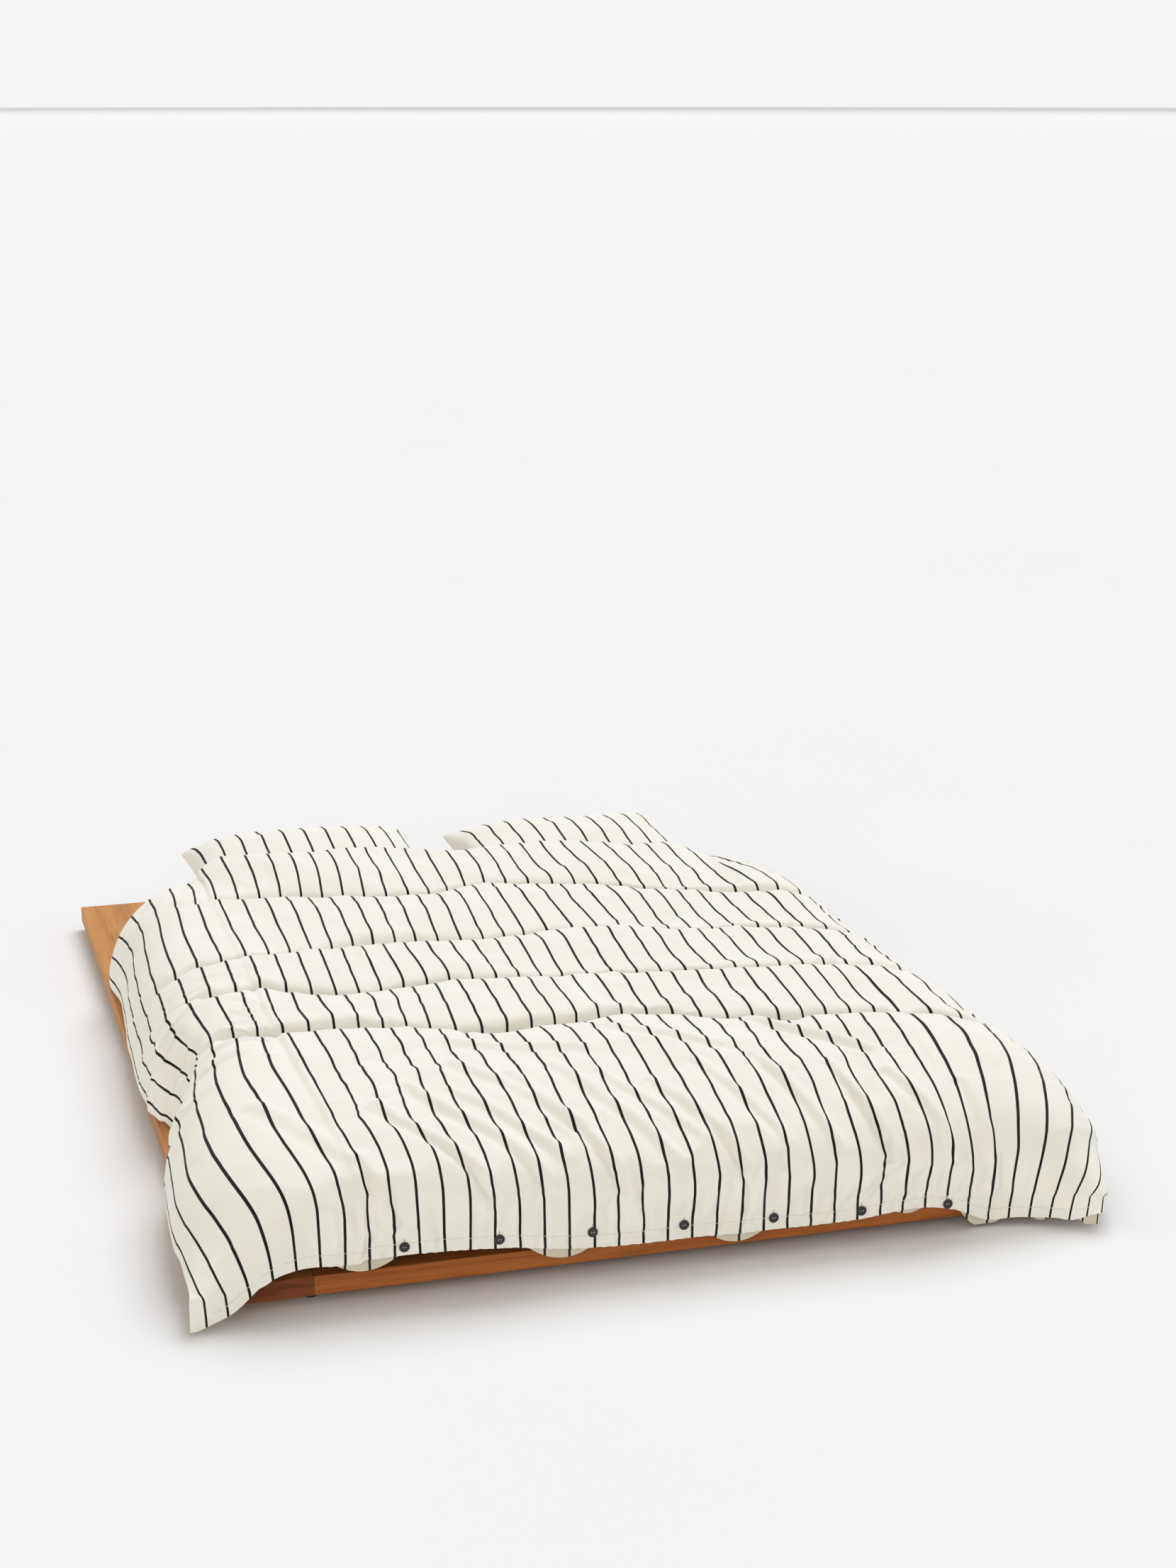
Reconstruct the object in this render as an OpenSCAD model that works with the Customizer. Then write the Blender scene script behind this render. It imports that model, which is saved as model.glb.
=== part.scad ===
// A low platform bed made up with a striped duvet over a mattress and two pillows.
// Millimetres, +Z up. The foot of the bed is towards -Y and the floor is Z = 0.
// The origin is the underside of the centre glide, in the middle of the bed.

/* [Bed frame] */
// Width of the platform
frame_w = 1600; // [1500:10:1700]
// Length of the platform, head to foot
frame_l = 2200; // [2150:10:2300]
// Width of the four flat boards
board_w = 170; // [150:5:190]
// Thickness of the four boards
board_t = 35; // [32:1:40]
// Height of the boards' underside above the floor
foot_h = 20; // [18:1:26]
// Rounding of the boards' long edges
board_r = 2.5; // [1:0.5:4]

/* [Slats] */
// How many slats carry the mattress
slat_n = 13; // [11:1:15]
// Width of a slat
slat_w = 70; // [60:5:80]
// Thickness of a slat
slat_t = 18; // [16:1:20]
// Width of the middle beam under the slats
beam_w = 100; // [80:5:120]
// Width of the ledger strips inside the side boards
cleat_w = 25; // [20:1:30]

/* [Glides] */
// Radius of a glide's plastic disc
glide_r = 12; // [10:0.5:14]
// Distance from the frame's end to a corner glide's centre
glide_in = 46; // [40:1:55]

/* [Mattress] */
// Width of the mattress
mattress_w = 1400; // [1360:10:1400]
// Length of the mattress
mattress_l = 2000; // [1990:5:2000]
// Thickness of the mattress
mattress_t = 110; // [105:1:115]

/* [Pillows] */
// Width of a pillow, across the bed
pillow_w = 560; // [500:10:570]
// Depth of a pillow, along the bed
pillow_d = 450; // [420:10:450]
// Distance from the middle of the bed to a pillow's middle
pillow_x = 312; // [305:1:315]
// Distance from the middle of the bed to the pillows' middle line
pillow_y = 720; // [715:1:730]

/* [Duvet] */
// Height of the duvet's top above the floor
duvet_top = 280; // [270:1:285]
// How far the duvet's foot hem reaches past the frame's foot end
hem_out = 18; // [16:1:24]
// Height of the foot hem's lower edge above the floor
hem_z = 38; // [34:1:44]
// Where the head half turns back, from the middle of the bed
fold_y = 120; // [100:5:140]
// How far up the bed the duvet's head edge lies on the pillows
head_y = 560; // [540:5:565]
// How far up the bed the duvet reaches beside the pillows
lane_y = 980; // [940:5:990]
// Thickness of the cover's cloth solids
cloth_t = 2; // [1.5:0.5:3]

/* [Buttons] */
// How many buttons close the foot hem
button_n = 7; // [5:1:7]
// Distance between neighbouring buttons
button_pitch = 166; // [150:1:172]
// Diameter of a button
button_d = 18; // [15:1:20]

/* [Hidden] */

// Levels and lines of the frame
frame_top = foot_h + board_t;
rail_top = frame_top - slat_t;
seam_x = frame_w / 2 - board_w;
inner_l = frame_l - 2 * board_w;
side_glide_x = frame_w / 2 - board_w / 2;
corner_glide_y = frame_l / 2 - glide_in;
slat_gap = (inner_l - slat_n * slat_w) / (slat_n + 1);
slat_end_gap = 1;
edge_steps = 4;

// Joint hardware
glide_edge = 2;
glide_disc_t = 9;
glide_neck_r = 8;
glide_neck_z = 12;
plate_t = 3;
plate_x = 80;
plate_y = 50;
screw_x = 30;
screw_y = 16;
screw_r = 2.25;
screw_head_r = 4.5;
screw_head_h = 2.3;
screw_l = 14;
stud_r = 3;
stud_top = 45;
stud_grip = 7;
bore_play = 0.05;
stud_hole_r = 4;
dowel_r = 5;
dowel_l = 60;
dowel_in = 25;
beam_dowel_r = 4;
beam_dowel_l = 50;
beam_dowel_x = 30;
drill_slack = 1;

// Soft parts
rest_gap = 0.3;
mattress_z = frame_top + rest_gap;
mattress_top = mattress_z + mattress_t;
mattress_r = 60;
ticking_t = 4;
nest_gap = 0.3;
pillow_z = mattress_top + rest_gap;
pillow_low = 50;
pillow_high = 80;
case_t = 2;
crown_power = 2.2;
crown_steps = 14;

// Duvet outline
duvet_half_w = frame_w / 2;
shoulder_x = 600;
skirt_z = 75;
hem_top = 110;
crest_y = -620;
foot_y = -frame_l / 2 - hem_out;
lip_in = -frame_l / 2 - 2;
head_rise = 24;
bed_gap = 0.6;
side_gap = 1;
split_gap = 0.5;
arc_steps = 12;
recess_x = 605;
ramp_y = [430, 510];
head_slope = 40;
lane_round = 160;
// Front of the pillows under the duvet: distance up the bed and height over the mattress
pillow_front = [[468, bed_gap], [480, 75], [510, 104]];
pillow_front_top = 121;
// Rounded points of a hanging corner: distance out, distance down the bed, height and radius
corner_lobes = [[828, 1148, 30, 18], [815, 985, 85, 12], [700, 1128, 70, 9], [795, 1115, 120, 14]];
hem_fill_y = -1090;
hem_half_w = 680;
hem_gap = 0.3;
button_mid_x = 20;
button_t = 3;
button_left_z = 98;
button_right_z = 56;
button_round = 0.8;
button_rim = 2.2;
button_hole_r = 0.9;
button_hole_x = 2.2;
far = 3000;

function round_rect(w, h, r, steps) = [
    for (c = [[1, 1, 0], [-1, 1, 90], [-1, -1, 180], [1, -1, 270]])
        for (i = [0 : steps])
            let (a = c[2] + 90 * i / steps)
                [c[0] * (w / 2 - r) + r * cos(a), c[1] * (h / 2 - r) + r * sin(a)]
];

// Half of a crowned section: height over a base line at x from -a to a
function crown(a, b, n) = [
    for (i = [-crown_steps : crown_steps])
        let (t = sin(90 * i / crown_steps))
            [a * t, b * pow(max(0, 1 - pow(abs(t), n)), 1 / n)]
];

function quarter(cx, cy, rx, ry, from, to) = [
    for (i = [0 : arc_steps])
        let (a = from + (to - from) * i / arc_steps)
            [cx + rx * cos(a), cy + ry * sin(a)]
];

module along_x(x0, x1) {
    translate([x0, 0, 0]) rotate([90, 0, 90]) linear_extrude(x1 - x0) children();
}

module along_y(y0, y1) {
    translate([0, y1, 0]) rotate([90, 0, 0]) linear_extrude(y1 - y0) children();
}

// ---- Bed frame ----

module place_plate(x, y) {
    translate([x, y, foot_h - plate_t]) children();
}

module screw_holes(x, y, r, head_r) {
    for (sx = [-1, 1]) {
        for (sy = [-1, 1]) {
            place_plate(x + sx * screw_x, y + sy * screw_y) {
                cylinder(r1 = head_r, r2 = r, h = screw_head_h, $fn = 32);
                cylinder(r = r, h = plate_t + screw_l, $fn = 32);
            }
        }
    }
}

module corner_cuts() {
    for (sx = [-1, 1]) {
        for (sy = [-1, 1]) {
            translate([sx * seam_x, sy * corner_glide_y, foot_h - drill_slack])
                cylinder(r = stud_hole_r, h = stud_top - foot_h + 4, $fn = 48);
            screw_holes(sx * seam_x, sy * corner_glide_y, screw_r + bore_play, screw_head_r);
        }
    }
    dowels(dowel_r, beam_dowel_r, dowel_l, beam_dowel_l);
}

module dowels(r, beam_r, l, beam_l) {
    for (sy = [-1, 1]) {
        for (sx = [-1, 1]) {
            for (d = [dowel_in, board_w - dowel_in]) {
                translate([sx * seam_x - l / 2, sy * (frame_l / 2 - d), foot_h + board_t / 2])
                    rotate([0, 90, 0]) cylinder(r = r, h = l, $fn = 32);
            }
            translate([sx * beam_dowel_x, sy * inner_l / 2 + beam_l / 2, (foot_h + rail_top) / 2])
                rotate([90, 0, 0]) cylinder(r = beam_r, h = beam_l, $fn = 32);
        }
    }
}

module side_board(side) {
    color([0.80, 0.55, 0.30]) difference() {
        translate([side * (frame_w - board_w) / 2, 0, foot_h + board_t / 2])
            along_y(-frame_l / 2, frame_l / 2)
                polygon(round_rect(board_w, board_t, board_r, edge_steps));
        corner_cuts();
        translate([side * side_glide_x, 0, foot_h - drill_slack])
            cylinder(r = stud_hole_r, h = stud_top - foot_h + 4, $fn = 48);
        screw_holes(side * side_glide_x, 0, screw_r + bore_play, screw_head_r);
    }
}

module end_board(side) {
    color([0.66, 0.40, 0.20]) difference() {
        translate([0, side * (frame_l - board_w) / 2, foot_h + board_t / 2])
            along_x(-seam_x, seam_x)
                polygon(round_rect(board_w, board_t, board_r, edge_steps));
        corner_cuts();
    }
}

module centre_beam() {
    color([0.78, 0.58, 0.36]) difference() {
        translate([-beam_w / 2, -inner_l / 2, foot_h]) cube([beam_w, inner_l, rail_top - foot_h]);
        dowels(dowel_r, beam_dowel_r, dowel_l, beam_dowel_l);
        translate([0, 0, foot_h - drill_slack])
            cylinder(r = stud_hole_r, h = board_t, $fn = 48);
        screw_holes(0, 0, screw_r + bore_play, screw_head_r);
    }
}

module side_cleat(side) {
    color([0.78, 0.58, 0.36])
        translate([side * (seam_x - cleat_w / 2), 0, (foot_h + rail_top) / 2])
            cube([cleat_w, inner_l, rail_top - foot_h], center = true);
}

module slat(i) {
    y = -inner_l / 2 + slat_gap + slat_w / 2 + (i - 1) * (slat_w + slat_gap);
    color([0.86, 0.70, 0.48])
        translate([0, y, rail_top + slat_t / 2])
            along_x(-seam_x + slat_end_gap, seam_x - slat_end_gap)
                polygon(round_rect(slat_w, slat_t, board_r, edge_steps));
}

module glide_plate(x, y) {
    color([0.62, 0.62, 0.64]) difference() {
        place_plate(x, y) translate([-plate_x / 2, -plate_y / 2, 0]) cube([plate_x, plate_y, plate_t]);
        place_plate(x, y) translate([0, 0, -drill_slack])
            cylinder(r = stud_r + bore_play, h = plate_t + 2 * drill_slack, $fn = 48);
        screw_holes(x, y, screw_r + bore_play, screw_head_r + bore_play);
    }
}

module screw(x, y) {
    place_plate(x, y) {
        rotate_extrude($fn = 32)
            polygon([
                [0, 0], [screw_head_r, 0], [screw_r, screw_head_h],
                [screw_r, plate_t + screw_l - screw_r], [0, plate_t + screw_l]
            ]);
    }
}

module plate_screws() {
    color([0.70, 0.70, 0.72])
        for (p = concat(corner_points(), [[side_glide_x, 0], [-side_glide_x, 0], [0, 0]])) {
            for (sx = [-1, 1]) {
                for (sy = [-1, 1]) {
                    screw(p[0] + sx * screw_x, p[1] + sy * screw_y);
                }
            }
        }
}

function corner_points() = [
    for (sx = [-1, 1]) for (sy = [-1, 1]) [sx * seam_x, sy * corner_glide_y]
];

module board_dowels() {
    color([0.86, 0.70, 0.48])
        dowels(dowel_r - bore_play, beam_dowel_r - bore_play, dowel_l - 2, beam_dowel_l - 2);
}

// ---- Glides: a moulded disc on a threaded stud ----

module glide(x, y) {
    top = foot_h - plate_t - rest_gap;
    color([0.08, 0.08, 0.08]) translate([x, y, 0]) difference() {
        rotate_extrude($fn = 64)
            polygon(concat(
                [[0, 0]],
                [for (i = [0 : edge_steps])
                    let (a = -90 + 90 * i / edge_steps)
                        [glide_r - glide_edge + glide_edge * cos(a), glide_edge + glide_edge * sin(a)]],
                [[glide_r, glide_disc_t], [glide_neck_r, glide_neck_z], [glide_neck_r, top], [0, top]]
            ));
        translate([0, 0, top - stud_grip])
            cylinder(r = stud_r + bore_play, h = stud_grip + drill_slack, $fn = 48);
    }
}

module stud(x, y, top) {
    z0 = foot_h - plate_t - stud_grip - rest_gap;
    color([0.70, 0.70, 0.72]) translate([x, y, z0])
        cylinder(r = stud_r, h = top - z0, $fn = 48);
}

// ---- Mattress ----

module mattress_block(d) {
    translate([0, 0, mattress_z + d])
        linear_extrude(mattress_t - 2 * d)
            polygon(round_rect(mattress_w - 2 * d, mattress_l - 2 * d, mattress_r - d, 8));
}

module mattress_core() {
    color([0.93, 0.90, 0.80]) mattress_block(ticking_t + nest_gap);
}

module mattress_cover() {
    color([0.92, 0.92, 0.90]) difference() {
        mattress_block(0);
        mattress_block(ticking_t);
    }
}

// ---- Pillows ----

module crowned(a, high, low) {
    polygon(concat(
        crown(a, high, crown_power),
        [for (p = crown(a, low, crown_power)) [-p[0], -p[1]]]
    ));
}

module pillow_body(side, d) {
    translate([side * pillow_x, pillow_y, pillow_z + pillow_low]) intersection() {
        along_x(-pillow_w / 2, pillow_w / 2)
            crowned(pillow_d / 2 - d, pillow_high - d, pillow_low - d);
        along_y(-pillow_d / 2, pillow_d / 2)
            crowned(pillow_w / 2 - d, pillow_high - d, pillow_low - d);
    }
}

module pillow(side) {
    color([0.97, 0.97, 0.96]) pillow_body(side, 2 * case_t);
}

module pillowcase(side) {
    color([0.95, 0.94, 0.90]) difference() {
        pillow_body(side, 0);
        pillow_body(side, case_t);
    }
}

// ---- Duvet: a plain tray-shaped solid that hangs over the mattress ----

// Outer outline across the bed, drawn in by d
module across_outline(d) {
    w = duvet_half_w - d;
    rx = duvet_half_w - shoulder_x - d;
    ry = duvet_top + head_rise - skirt_z - d;
    polygon(concat(
        [[-w, 0], [w, 0]],
        quarter(shoulder_x, skirt_z, rx, ry, 0, 90),
        quarter(-shoulder_x, skirt_z, rx, ry, 90, 180)
    ));
}

// Outer outline along the foot half: the hem, the front roll and the flat top
module foot_outline(d) {
    y = foot_y + d;
    polygon(concat(
        [[fold_y - split_gap, 0], [fold_y - split_gap, duvet_top - d]],
        quarter(crest_y, hem_top, crest_y - y, duvet_top - hem_top - d, 90, 180),
        [[y, hem_z], [y, 0]]
    ));
}

// Outer outline along the head half: the flat top, the rise on to the pillows and the end beside them
module head_outline(d) {
    top = duvet_top - d;
    polygon(concat(
        [[fold_y + split_gap, 0], [fold_y + split_gap, top]],
        [[ramp_y[0], top], [ramp_y[1], top + head_rise]],
        [[head_y, top + head_rise], [head_y + head_slope, top]],
        quarter(lane_y - lane_round, skirt_z, lane_round - d, top - skirt_z, 90, 0),
        [[lane_y - d, 0]]
    ));
}

// Space under the duvet: the mattress, the ledge and the frame's foot end
module bed_space(d) {
    mx = mattress_w / 2 + side_gap + d;
    my = mattress_l / 2 + side_gap + d;
    translate([-mx, -my, -d]) cube([2 * mx, far, mattress_top + bed_gap + 2 * d]);
    translate([-far / 2, lip_in - d, -d]) cube([far, far, frame_top + bed_gap + 2 * d]);
    translate([-far / 2, -far, -d]) cube([far, 2 * far, hem_z + d]);
}

// Space for the pillows: a ramp under the head edge and the recess between the side lanes
module pillow_space(d) {
    z0 = mattress_top;
    along_x(-recess_x - d, recess_x + d)
        polygon(concat(
            [[pillow_front[0][0] - d, 0]],
            [for (p = pillow_front) [p[0] - d, z0 + p[1] + d]],
            [[head_y - d, z0 + pillow_front_top + d], [head_y - d, far], [far, far], [far, 0]]
        ));
}

module foot_solid(d) {
    intersection() {
        along_x(-far / 2, far / 2) foot_outline(d);
        along_y(-far / 2, far / 2) across_outline(d);
    }
}

module head_solid(d) {
    intersection() {
        along_x(-far / 2, far / 2) head_outline(d);
        along_y(-far / 2, far / 2) across_outline(d);
    }
}

module duvet_filling_foot() {
    inset = cloth_t + nest_gap;
    color([0.98, 0.98, 0.97]) difference() {
        foot_solid(inset);
        bed_space(inset);
        translate([-far / 2, hem_fill_y - far, 0]) cube([far, far, far]);
    }
}

module duvet_filling_head() {
    inset = cloth_t + nest_gap;
    color([0.98, 0.98, 0.97]) difference() {
        head_solid(inset);
        bed_space(inset);
        pillow_space(inset);
    }
}

module cover_top_foot() {
    color([0.95, 0.94, 0.90]) difference() {
        foot_solid(0);
        foot_solid(cloth_t);
        bed_space(0);
    }
}

module cover_top_head() {
    color([0.95, 0.94, 0.90]) difference() {
        head_solid(0);
        head_solid(cloth_t);
        bed_space(0);
        pillow_space(0);
    }
}

module cover_bottom_foot() {
    color([0.90, 0.88, 0.82]) difference() {
        intersection() {
            foot_solid(cloth_t + nest_gap / 2);
            bed_space(cloth_t);
        }
        bed_space(0);
    }
}

module cover_bottom_head() {
    color([0.90, 0.88, 0.82]) difference() {
        intersection() {
            head_solid(cloth_t + nest_gap / 2);
            union() {
                bed_space(cloth_t);
                pillow_space(cloth_t);
            }
        }
        bed_space(0);
        pillow_space(0);
    }
}

// Loose corner of the cover that hangs round the frame's foot corner
module cover_corner(side) {
    color([0.95, 0.94, 0.90]) mirror([side > 0 ? 1 : 0, 0, 0]) difference() {
        hull() {
            for (p = corner_lobes) {
                translate([-p[0], -p[1], p[2]]) sphere(r = p[3], $fn = 24);
            }
        }
        translate([-duvet_half_w - 2, foot_y - nest_gap, -far / 2]) cube([far, far, far]);
    }
}

// Folded facing inside the foot hem
module hem_facing() {
    color([0.84, 0.80, 0.70])
        translate([-hem_half_w, foot_y + cloth_t + hem_gap, hem_z + hem_gap])
            cube([
                2 * hem_half_w,
                hem_out - 2 - 2 * cloth_t - 2 * hem_gap,
                frame_top - hem_z - 2 * hem_gap
            ]);
}

module button(x, z) {
    r = button_d / 2;
    translate([x, foot_y - nest_gap, z]) rotate([90, 0, 0]) difference() {
        rotate_extrude($fn = 48)
            polygon([
                [0, 0], [r - button_round, 0], [r, button_round], [r, button_t - button_round],
                [r - button_round, button_t], [r - button_rim, button_t],
                [r - button_rim - button_round, button_t - button_round], [0, button_t - button_round]
            ]);
        for (s = [-1, 1]) {
            translate([s * button_hole_x, 0, -drill_slack])
                cylinder(r = button_hole_r, h = button_t + 2 * drill_slack, $fn = 24);
        }
    }
}

module buttons() {
    color([0.07, 0.07, 0.07])
        for (i = [0 : button_n - 1]) {
            share = button_n > 1 ? i / (button_n - 1) : 0;
            button(
                button_mid_x + (i - (button_n - 1) / 2) * button_pitch,
                button_left_z + share * (button_right_z - button_left_z)
            );
        }
}

side_board(-1);  // side_board_left
side_board(1);  // side_board_right
end_board(-1);  // foot_board
end_board(1);  // head_board
centre_beam();
side_cleat(-1);  // side_cleat_left
side_cleat(1);  // side_cleat_right
slat(1);  // slat_1
slat(2);  // slat_2
slat(3);  // slat_3
slat(4);  // slat_4
slat(5);  // slat_5
slat(6);  // slat_6
slat(7);  // slat_7
slat(8);  // slat_8
slat(9);  // slat_9
slat(10);  // slat_10
slat(11);  // slat_11
slat(12);  // slat_12
slat(13);  // slat_13
glide_plate(-seam_x, -corner_glide_y);  // plate_foot_left
glide_plate(seam_x, -corner_glide_y);  // plate_foot_right
glide_plate(-seam_x, corner_glide_y);  // plate_head_left
glide_plate(seam_x, corner_glide_y);  // plate_head_right
glide_plate(-side_glide_x, 0);  // plate_side_left
glide_plate(side_glide_x, 0);  // plate_side_right
glide_plate(0, 0);  // plate_centre
plate_screws();
board_dowels();
glide(-seam_x, -corner_glide_y);  // glide_foot_left
glide(seam_x, -corner_glide_y);  // glide_foot_right
glide(-seam_x, corner_glide_y);  // glide_head_left
glide(seam_x, corner_glide_y);  // glide_head_right
glide(-side_glide_x, 0);  // glide_side_left
glide(side_glide_x, 0);  // glide_side_right
glide(0, 0);  // glide_centre
stud(-seam_x, -corner_glide_y, stud_top);  // stud_foot_left
stud(seam_x, -corner_glide_y, stud_top);  // stud_foot_right
stud(-seam_x, corner_glide_y, stud_top);  // stud_head_left
stud(seam_x, corner_glide_y, stud_top);  // stud_head_right
stud(-side_glide_x, 0, stud_top);  // stud_side_left
stud(side_glide_x, 0, stud_top);  // stud_side_right
stud(0, 0, rail_top - 1);  // stud_centre
mattress_core();
mattress_cover();
pillow(-1);  // pillow_left
pillow(1);  // pillow_right
pillowcase(-1);  // pillowcase_left
pillowcase(1);  // pillowcase_right
duvet_filling_foot();
duvet_filling_head();
cover_top_foot();
cover_top_head();
cover_bottom_foot();
cover_bottom_head();
cover_corner(-1);  // cover_corner_left
cover_corner(1);  // cover_corner_right
hem_facing();
buttons();
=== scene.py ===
"""Looks of a low platform bed made up with a striped duvet over a mattress and two pillows.

Metres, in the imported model's frame: the foot of the bed is towards -Y and the floor is Z = 0.
"""
import math

import bpy
import numpy as np
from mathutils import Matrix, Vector


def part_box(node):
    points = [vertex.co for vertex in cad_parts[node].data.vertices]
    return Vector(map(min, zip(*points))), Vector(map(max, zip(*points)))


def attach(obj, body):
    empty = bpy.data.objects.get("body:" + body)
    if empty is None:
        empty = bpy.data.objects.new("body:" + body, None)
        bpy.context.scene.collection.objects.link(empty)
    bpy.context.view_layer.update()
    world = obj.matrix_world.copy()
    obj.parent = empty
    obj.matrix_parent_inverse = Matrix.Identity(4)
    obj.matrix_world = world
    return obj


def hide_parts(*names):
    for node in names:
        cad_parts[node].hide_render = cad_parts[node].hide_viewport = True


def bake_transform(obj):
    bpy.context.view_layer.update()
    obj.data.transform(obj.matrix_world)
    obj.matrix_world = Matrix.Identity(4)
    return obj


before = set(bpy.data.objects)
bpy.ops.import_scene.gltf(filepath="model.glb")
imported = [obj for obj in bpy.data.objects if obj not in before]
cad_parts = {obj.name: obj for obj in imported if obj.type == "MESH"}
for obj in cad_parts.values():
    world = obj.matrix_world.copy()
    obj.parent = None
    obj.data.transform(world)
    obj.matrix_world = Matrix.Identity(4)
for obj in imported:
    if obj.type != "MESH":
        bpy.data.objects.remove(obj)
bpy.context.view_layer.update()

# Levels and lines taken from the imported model
LEFT_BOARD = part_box("side_board_left")
HALF_W = -LEFT_BOARD[0].x
FOOT_Y = LEFT_BOARD[0].y
LEDGE_Z = LEFT_BOARD[1].z
MATTRESS_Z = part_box("mattress_cover")[1].z
BUTTON_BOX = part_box("buttons")
FRONT_Y = BUTTON_BOX[1].y + 0.0006

# The cover as it was cut: width, length and the stripes woven along it
COVER_W = 2.0
COVER_L = 2.2
STRIPE_PITCH = 0.050
STRIPE_W = 0.0054
STRIPE_PHASE = 0.010

# The duvet's relief: the height of its folds, and how deep a plain valley between them is
CREST_Z = 0.283
VALLEY = 0.066
# How far out its top and its underside begin to fall to the sides, and how deep that fall's own curve is
SHOULDER_X = 0.575
UNDER_SHOULDER_X = 0.665
SIDE_DEPTH = 0.22
# How far out the head edge stops lying on a pillow and has fallen beside it
LANE_X = (0.50, 0.63)

# How far cloth stays over the floor and over the ledge, and off the boards' faces
FLOOR_GAP = 0.006
LEDGE_GAP = 0.006
BOARD_GAP = 0.003

# The sheets' coarse grid, and how many points draw one line of it
COLUMNS = 201
ROWS = 221
DENSE = 900


# ---- Small helpers ----

def smooth(a, b, x):
    """0 before a, 1 after b and a smooth ramp between them; b may be below a."""
    t = np.clip((x - a) / (b - a), 0, 1)
    return t * t * (3 - 2 * t)


def curve(x, points):
    """A smooth line through given (x, value) points."""
    xs, ys = np.array(points, float).T
    x = np.clip(x, xs[0], xs[-1])
    i = np.clip(np.searchsorted(xs, x) - 1, 0, len(xs) - 2)
    slope = np.gradient(ys, xs)
    h = xs[i + 1] - xs[i]
    t = (x - xs[i]) / h
    a = (1 + 2 * t) * (1 - t) ** 2
    b = t * (1 - t) ** 2 * h
    c = t * t * (3 - 2 * t)
    d = t * t * (t - 1) * h
    return a * ys[i] + b * slope[i] + c * ys[i + 1] + d * slope[i + 1]


def lumps(x, y, size, seed):
    """Smooth random values from about -1 to 1 whose lumps are about size across."""
    table = np.random.default_rng(seed).uniform(-1, 1, (64, 64))
    gx, gy = x / size, y / size
    ix, iy = np.floor(gx).astype(int), np.floor(gy).astype(int)
    fx, fy = gx - ix, gy - iy
    sx, sy = fx * fx * (3 - 2 * fx), fy * fy * (3 - 2 * fy)
    v00, v10 = table[ix % 64, iy % 64], table[(ix + 1) % 64, iy % 64]
    v01, v11 = table[ix % 64, (iy + 1) % 64], table[(ix + 1) % 64, (iy + 1) % 64]
    low = v00 * (1 - sx) + v10 * sx
    high = v01 * (1 - sx) + v11 * sx
    return low * (1 - sy) + high * sy


def soft_min(a, b, k):
    """The lower of a and b, rounded where they meet."""
    h = np.clip(0.5 + 0.5 * (b - a) / k, 0, 1)
    return b * (1 - h) + a * h - k * h * (1 - h)


def evenly(line, n):
    """n points evenly along a line of points."""
    s = np.r_[0, np.cumsum(np.linalg.norm(np.diff(line, axis=0), axis=1))]
    even = np.linspace(0, s[-1], n)
    return np.stack([np.interp(even, s, line[:, k]) for k in range(line.shape[1])], 1)


def b_spline(points):
    """Many even points along a smooth curve that is drawn by the control points."""
    p = np.array(points, float)
    p = np.vstack([2 * p[0] - p[1], p, 2 * p[-1] - p[-2]])
    t = np.linspace(0, len(p) - 3 - 1e-9, DENSE)
    i = t.astype(int)
    f = (t - i)[:, None]
    q = ((1 - f) ** 3 * p[i] + (3 * f**3 - 6 * f**2 + 4) * p[i + 1]
         + (-3 * f**3 + 3 * f**2 + 3 * f + 1) * p[i + 2] + f**3 * p[i + 3]) / 6
    return evenly(q, DENSE)


def add_object(name, data):
    """Puts a mesh, camera or light into the scene."""
    thing = bpy.data.objects.new(name, data)
    bpy.context.scene.collection.objects.link(thing)
    return thing


def grid_faces(index):
    """The quads between the points of a grid of vertex numbers."""
    return np.stack([index[:-1, :-1], index[:-1, 1:], index[1:, 1:], index[1:, :-1]], -1).reshape(-1, 4)


def cloth_object(name, points, faces, uv):
    """A smooth-shaded mesh with the cloth's own place in metres as its UV map."""
    mesh = bpy.data.meshes.new(name)
    mesh.from_pydata(points.tolist(), [], faces.tolist())
    layer = mesh.uv_layers.new(name="cloth")
    layer.data.foreach_set("uv", uv[faces.ravel()].astype(np.float32).ravel())
    mesh.polygons.foreach_set("use_smooth", np.ones(len(faces), bool))
    return add_object(name, mesh)


def grid_object(name, points, u, v):
    """One layer of cloth from points[row, column]."""
    shape = points.shape[:2]
    faces = grid_faces(np.arange(shape[0] * shape[1]).reshape(shape))
    uv = np.stack([np.broadcast_to(u, shape), np.broadcast_to(v, shape)], -1)
    return cloth_object(name, points.reshape(-1, 3), faces, uv.reshape(-1, 2))


def apply_modifiers(piece):
    """Turns what the modifiers show into the piece's own mesh."""
    graph = bpy.context.evaluated_depsgraph_get()
    mesh = bpy.data.meshes.new_from_object(piece.evaluated_get(graph))
    piece.modifiers.clear()
    piece.data = mesh
    return piece


def subdivided(piece, levels=1):
    piece.modifiers.new("subdivide", "SUBSURF").levels = levels
    piece.modifiers["subdivide"].render_levels = levels
    return apply_modifiers(piece)


# ---- Materials ----

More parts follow.
